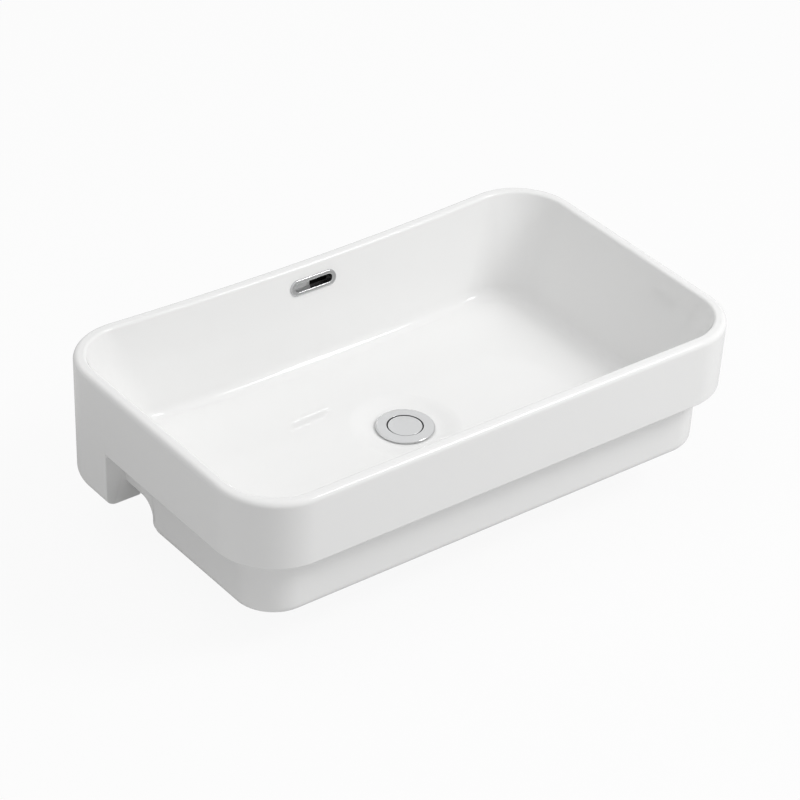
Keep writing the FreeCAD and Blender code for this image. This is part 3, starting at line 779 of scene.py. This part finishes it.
class BASIN_OT_body(bpy.types.Operator):
    """Make the one-piece glazed basin"""
    bl_idname = "basin.body"
    bl_label = "Glazed body"

    def execute(self, context):
        settings = context.scene.basin_glaze
        boss = soft_section([(HOLE_R, BOSS_Z), (BOSS_R, BOSS_Z), (BOSS_R, -114), (HOLE_R, -114)],
                            [1, 2, 0, 0])
        face, foot = SPLIT_Y + 0.05, SKIRT_Z + 0.03
        skirt_wall = [(face, BURIED_Z), (face, foot), (HOLLOW_Y, foot), (HOLLOW_Y, BURIED_Z)]
        duct_rib = [(-10, -114), (-10, -129), (32, -129), (32, -114)]
        shells = [
            bowl_shell(settings), tub_shell(settings), rear_shell(settings),
            bar_shell(skirt_wall, [0, EDGE_R, EDGE_R, 0], [1, 5, 5, 1], -260.0, 260.0, "x"),
            turned_shell(boss),
            bar_shell(duct_rib, [0, 6, 6, 0], [1, 9, 9, 1], 20.0, 165.5, "y"),
        ]
        basin = mesh_piece("glazed_basin", shells, glaze_finish(settings))
        mouth = set_in_back(oblong_rows(
            [(MOUTH_RUN, radius, depth) for radius, depth in
             ((0, -2), (MOUTH_R, -2), (MOUTH_R, 10), (0, 10))]))
        duct = bar_shell([(156.5, -16.7), (156.5, BURIED_Z), (163.5, BURIED_Z), (163.5, -16.7)],
                         [0] * 4, [1] * 4, -2.0, 24.0, "x")
        cutters = [mesh_piece("mouth_cutter", [(mouth, False, True)], None),
                   mesh_piece("duct_cutter", [duct], None)]
        cut_away(basin, cutters)
        stand_in(basin, "basin_body")
        return {"FINISHED"}


class BASIN_OT_overflow(bpy.types.Operator):
    """Make the overflow trim and finish its seal"""
    bl_idname = "basin.overflow"
    bl_label = "Overflow"

    def execute(self, context):
        metal = context.scene.basin_metal
        turn = np.linspace(0.0, math.pi / 2, 6)
        rows = [(MOUTH_RUN, 4.3, 8.0), (MOUTH_RUN, 5.3, 8.0), (MOUTH_RUN, 5.3, 0.0),
                (19.5, 8.5, 0.0), (19.5, 8.5, -0.6)]
        rows += [(19.5, 7.5 + math.cos(t), -0.6 - math.sin(t)) for t in turn[1:]]
        rows += [(19.1, 6.0, -1.6)]
        rows += [(MOUTH_RUN, 5.1 - 0.8 * math.sin(t), -0.8 - 0.8 * math.cos(t)) for t in turn]
        ring = set_in_back(oblong_rows(rows))
        # painted shade: the trim's chrome is painted at 0.85 of the plating colour, darker than the
        # waste's
        chrome = chrome_finish("trim_chrome_painted_shade", scaled_colour(metal.chrome, 0.85), metal.trim_roughness)
        trim = mesh_piece("overflow_ring", [(ring, True, True)], chrome)
        stand_in(trim, "overflow_trim")
        finish_node("overflow_seal", rubber_finish())
        return {"FINISHED"}


class BASIN_OT_waste(bpy.types.Operator):
    """Make the flanged waste with its thread, its slots and its spider, and its seal"""
    bl_idname = "basin.waste"
    bl_label = "Waste"

    def execute(self, context):
        metal = context.scene.basin_metal
        chrome = chrome_finish("waste_chrome", metal.chrome, metal.waste_roughness)
        head = soft_section(
            [(BORE_R, TUBE_END), (THREAD_R, TUBE_END), (THREAD_R, FLANGE_Z), (FLANGE_R, FLANGE_Z),
             (FLANGE_R, FLANGE_TOP), (CUP_R, FLANGE_TOP), (CUP_R, CUP_Z),
             (BORE_R, CUP_Z + BORE_R - CUP_R)],
            [0, 0.5, 0, 0.2, 1.8, 0.35, 0, 0], 7)
        pitch, depth = metal.thread_pitch * 1000.0, metal.thread_depth * 1000.0
        low = TUBE_END + 0.8
        split = int(np.nonzero((head[:, 0] > THREAD_R - 0.05) & (head[:, 1] < low))[0].max()) + 1
        runs = np.arange(low, THREAD_TOP, pitch / 8.0)
        outer = np.column_stack((np.full(len(runs), THREAD_R), runs))
        head = np.concatenate((head[:split], outer, head[split:]))
        wall, close, around = turned_shell(head, 128)
        tube = threaded(wall, THREAD_TOP, low, pitch, depth)
        shells = [(tube, close, around), *self.spider()]
        waste = mesh_piece("waste_tube", shells, chrome)
        cutters = []
        for i in range(6):
            slot = bar_shell([(-4, -124), (4, -124), (4, -111), (-4, -111)], [1.5] * 4, [4] * 4,
                             15.0, 24.0, "y")
            cutter = mesh_piece("slot_cutter", [slot], None)
            turn = Matrix.Rotation(math.radians(60 * i), 4, "Z")
            cutter.data.transform(Matrix.Translation((0.0, DRAIN[1] * 0.001, 0.0)) @ turn)
            cutters.append(cutter)
        cut_away(waste, cutters)
        stand_in(waste, "waste_body")
        flat = soft_section([(25, SEAT_Z), (29, SEAT_Z), (29, FLANGE_Z), (25, FLANGE_Z)],
                            [0.2, 0.3, 0.2, 0.2])
        seal = mesh_piece("flange_ring", [turned_shell(flat)], pale_seal_finish())
        stand_in(seal, "flange_seal")
        return {"FINISHED"}

    def spider(self):
        """Two crossed arms and the hub they carry."""
        hub = soft_section([(4.05, ARM_LOW), (6.5, ARM_LOW), (6.5, ARM_HIGH), (4.05, ARM_HIGH)],
                           [0, 0.4, 0.4, 0])
        shells = [turned_shell(hub, 48)]
        for sign in (-1, 1):
            for middle, start, along in ((DRAIN[1], DRAIN[0], "x"), (DRAIN[0], DRAIN[1], "y")):
                near, far = middle - 1.5, middle + 1.5
                arm = [(near, ARM_LOW), (far, ARM_LOW), (far, ARM_HIGH), (near, ARM_HIGH)]
                ends = sorted((start + sign * 6.0, start + sign * 17.5))
                shells.append(bar_shell(arm, [0.3] * 4, [3] * 4, *ends, along))
        return shells


class BASIN_OT_plug(bpy.types.Operator):
    """Make the flush plug with its seal, and finish its stem and index ring"""
    bl_idname = "basin.plug"
    bl_label = "Plug"

    def execute(self, context):
        metal = context.scene.basin_metal
        chrome = chrome_finish("plug_chrome", metal.chrome, metal.waste_roughness)
        r = np.linspace(1.0, 0.0, 14)
        edge = soft_section([(0.0, CAP_Z), (CAP_R, CAP_Z), (CAP_R, -105.4), (0.0, -105.1)],
                            [0, 0.4, 0.5, 0])
        crown = [((CAP_R - 0.8) * t, FLANGE_TOP - 0.4 * t * t) for t in r]
        outline = [p for p in edge if p[0] > CAP_R - 0.7]
        section = [(0.0, CUP_Z), (4.6, CUP_Z), (5.0, CUP_Z + 0.4), (5.0, CAP_Z), *outline, *crown]
        cap = mesh_piece("flush_cap", [turned_shell(section, close=False)], chrome)
        stand_in(cap, "plug_cap")
        rim, low = CUP_R - 0.1, CAP_Z - 2.4
        disc = soft_section([(5.05, low), (rim, low), (rim, CAP_Z), (5.05, CAP_Z)],
                            [0, 0.7, 0.7, 0])
        seal = mesh_piece("cap_seal", [turned_shell(disc)], rubber_finish())
        stand_in(seal, "plug_seal")
        finish_node("plug_stem", brass_finish(metal))
        finish_node("index_ring", plastic_finish())
        return {"FINISHED"}


class BASIN_OT_cartridge(bpy.types.Operator):
    """Finish the cartridge that guides the plug, and its spring"""
    bl_idname = "basin.cartridge"
    bl_label = "Cartridge"

    def execute(self, context):
        brass = brass_finish(context.scene.basin_metal)
        finish_node("cartridge_sleeve", brass)
        finish_node("cartridge_base", brass)
        finish_node("plug_spring", steel_finish())
        return {"FINISHED"}


class BASIN_OT_fixings(bpy.types.Operator):
    """Make the washers under the basin and finish the nut"""
    bl_idname = "basin.fixings"
    bl_label = "Washers and nut"

    def execute(self, context):
        metal = context.scene.basin_metal
        taper = soft_section(
            [(WASHER_BORE, TAPER_LOW), (WASHER_R, TAPER_LOW), (WASHER_R, -151.5), (27, BOSS_Z),
             (WASHER_BORE, BOSS_Z)], [0, 0.8, 1.2, 0.8, 0])
        washer = mesh_piece("taper_ring", [turned_shell(taper)], rubber_finish())
        stand_in(washer, "taper_washer")
        flat = soft_section(
            [(WASHER_BORE, SLIP_LOW), (WASHER_R, SLIP_LOW), (WASHER_R, TAPER_LOW),
             (WASHER_BORE, TAPER_LOW)], [0.2, 0.5, 0.5, 0.2])
        slip = mesh_piece("slip_ring", [turned_shell(flat)], plastic_finish())
        stand_in(slip, "slip_washer")
        finish_node("back_nut", chrome_finish("nut_chrome", metal.chrome, 0.2))
        return {"FINISHED"}


class BASIN_OT_stage(bpy.types.Operator):
    """Make the floor, the lights and the camera"""
    bl_idname = "basin.stage"
    bl_label = "Studio"

    def execute(self, context):
        settings = context.scene.basin_stage
        scene = context.scene
        scene.view_settings.view_transform = "Standard"
        self.floor(settings)
        self.sky(scene, settings)
        self.lamp("key_lamp", KEY_PLACE, KEY_SIZE, settings.key, False)
        self.lamp("glint_lamp", GLINT_PLACE, GLINT_SIZE, settings.key * GLINT_SHARE, True)
        self.lamp("fill_lamp", FILL_PLACE, FILL_SIZE, settings.key * FILL_SHARE, False)
        self.camera(scene, settings)
        return {"FINISHED"}

    def floor(self, settings):
        """A wide sheet under the lowest piece."""
        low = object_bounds()[0].z - FLOOR_GAP
        mesh = bpy.data.meshes.new("floor")
        corners = [(x * FLOOR_REACH, y * FLOOR_REACH, low)
                   for x, y in ((-1, -1), (1, -1), (1, 1), (-1, 1))]
        mesh.from_pydata(corners, [], [(0, 1, 2, 3)])
        floor = bpy.data.objects.new("floor", mesh)
        bpy.context.scene.collection.objects.link(floor)
        material = bpy.data.materials.new("floor_sheet")
        material.use_nodes = True
        tree = material.node_tree
        skin = tree.nodes["Principled BSDF"]
        skin.inputs["Base Color"].default_value = (*settings.floor, 1.0)
        skin.inputs["Roughness"].default_value = 1.0
        skin.inputs["Specular IOR Level"].default_value = 0.0
        glow = tree.nodes.new("ShaderNodeEmission")
        path = tree.nodes.new("ShaderNodeLightPath")
        seen = tree.nodes.new("ShaderNodeMath")
        seen.operation = "MULTIPLY"
        seen.inputs[1].default_value = FLOOR_GLOW
        tree.links.new(path.outputs["Is Camera Ray"], seen.inputs[0])
        mix = tree.nodes.new("ShaderNodeMixShader")
        tree.links.new(seen.outputs[0], mix.inputs[0])
        tree.links.new(skin.outputs[0], mix.inputs[1])
        tree.links.new(glow.outputs[0], mix.inputs[2])
        tree.links.new(mix.outputs[0], tree.nodes["Material Output"].inputs[0])
        mesh.materials.append(material)
        floor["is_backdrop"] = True

    def sky(self, scene, settings):
        """Even light from all round, seen as white by the camera and in reflections."""
        world = bpy.data.worlds.new("studio")
        scene.world = world
        world.use_nodes = True
        tree = world.node_tree
        back = tree.nodes["Background"]
        back.inputs[0].default_value = (1.0, 1.0, 1.0, 1.0)
        path = tree.nodes.new("ShaderNodeLightPath")
        either = tree.nodes.new("ShaderNodeMath")
        either.operation = "MAXIMUM"
        tree.links.new(path.outputs["Is Camera Ray"], either.inputs[0])
        tree.links.new(path.outputs["Is Glossy Ray"], either.inputs[1])
        level = tree.nodes.new("ShaderNodeMapRange")
        tree.links.new(either.outputs[0], level.inputs["Value"])
        level.inputs["To Min"].default_value = settings.world
        level.inputs["To Max"].default_value = 1.0
        tree.links.new(level.outputs[0], back.inputs[1])

    def lamp(self, name, place, size, power, glints):
        """A square lamp that faces the basin, with or without its own reflection in the glaze."""
        data = bpy.data.lights.new(name, "AREA")
        data.shape, data.size, data.energy = "SQUARE", size, power
        lamp = bpy.data.objects.new(name, data)
        bpy.context.scene.collection.objects.link(lamp)
        lamp.location = place
        lamp.visible_glossy = glints
        lamp.rotation_euler = (-Vector(place)).to_track_quat("-Z", "Y").to_euler()
        lamp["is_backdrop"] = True

    def camera(self, scene, settings):
        """The camera of the photograph: turned to the left, raised, and rolled about its axis."""
        turn, rise, roll = (math.radians(v) for v in (CAMERA_TURN, CAMERA_RISE, CAMERA_ROLL))
        flat = math.cos(rise)
        back = Vector((math.sin(turn) * flat, -math.cos(turn) * flat, math.sin(rise)))
        right = (-back).cross(Vector((0, 0, 1))).normalized()
        up = right.cross(-back)
        across = right * math.cos(roll) + up * math.sin(roll)
        upward = up * math.cos(roll) - right * math.sin(roll)
        data = bpy.data.cameras.new("camera")
        data.lens, data.sensor_width = settings.lens, SENSOR_W
        data.clip_start, data.clip_end = 0.1, 100.0
        camera = bpy.data.objects.new("camera", data)
        scene.collection.objects.link(camera)
        place = Vector(CAMERA_AIM) + back * CAMERA_AWAY
        camera.matrix_world = Matrix((
            (across.x, upward.x, back.x, place.x), (across.y, upward.y, back.y, place.y),
            (across.z, upward.z, back.z, place.z), (0, 0, 0, 1)))
        scene.camera = camera


PIECE_STEPS = (BASIN_OT_body, BASIN_OT_overflow, BASIN_OT_waste, BASIN_OT_plug, BASIN_OT_cartridge,
               BASIN_OT_fixings, BASIN_OT_stage)


class BASIN_PT_panel(bpy.types.Panel):
    """Everything the basin is made with"""
    bl_idname = "BASIN_PT_panel"
    bl_label = "Semi recessed basin"
    bl_space_type = "VIEW_3D"
    bl_region_type = "UI"
    bl_category = "Basin"

    def draw(self, context):
        scene = context.scene
        for group in (scene.basin_glaze, scene.basin_metal, scene.basin_stage):
            box = self.layout.box()
            for key in group.bl_rna.properties.keys():
                if key not in {"rna_type", "name"}:
                    box.prop(group, key)
        for step in PIECE_STEPS:
            self.layout.operator(step.bl_idname)


CLASSES = (BasinGlazeSettings, BasinMetalSettings, BasinStageSettings, *PIECE_STEPS, BASIN_PT_panel)


def register():
    for cls in CLASSES:
        bpy.utils.register_class(cls)
    bpy.types.Scene.basin_glaze = PointerProperty(type=BasinGlazeSettings)
    bpy.types.Scene.basin_metal = PointerProperty(type=BasinMetalSettings)
    bpy.types.Scene.basin_stage = PointerProperty(type=BasinStageSettings)


def unregister():
    del bpy.types.Scene.basin_stage, bpy.types.Scene.basin_metal, bpy.types.Scene.basin_glaze
    for cls in reversed(CLASSES):
        bpy.utils.unregister_class(cls)


def main():
    register()
    bpy.ops.basin.body()
    bpy.ops.basin.overflow()
    bpy.ops.basin.waste()
    bpy.ops.basin.plug()
    bpy.ops.basin.cartridge()
    bpy.ops.basin.fixings()
    bpy.ops.basin.stage()


if __name__ == "__main__":
    main()
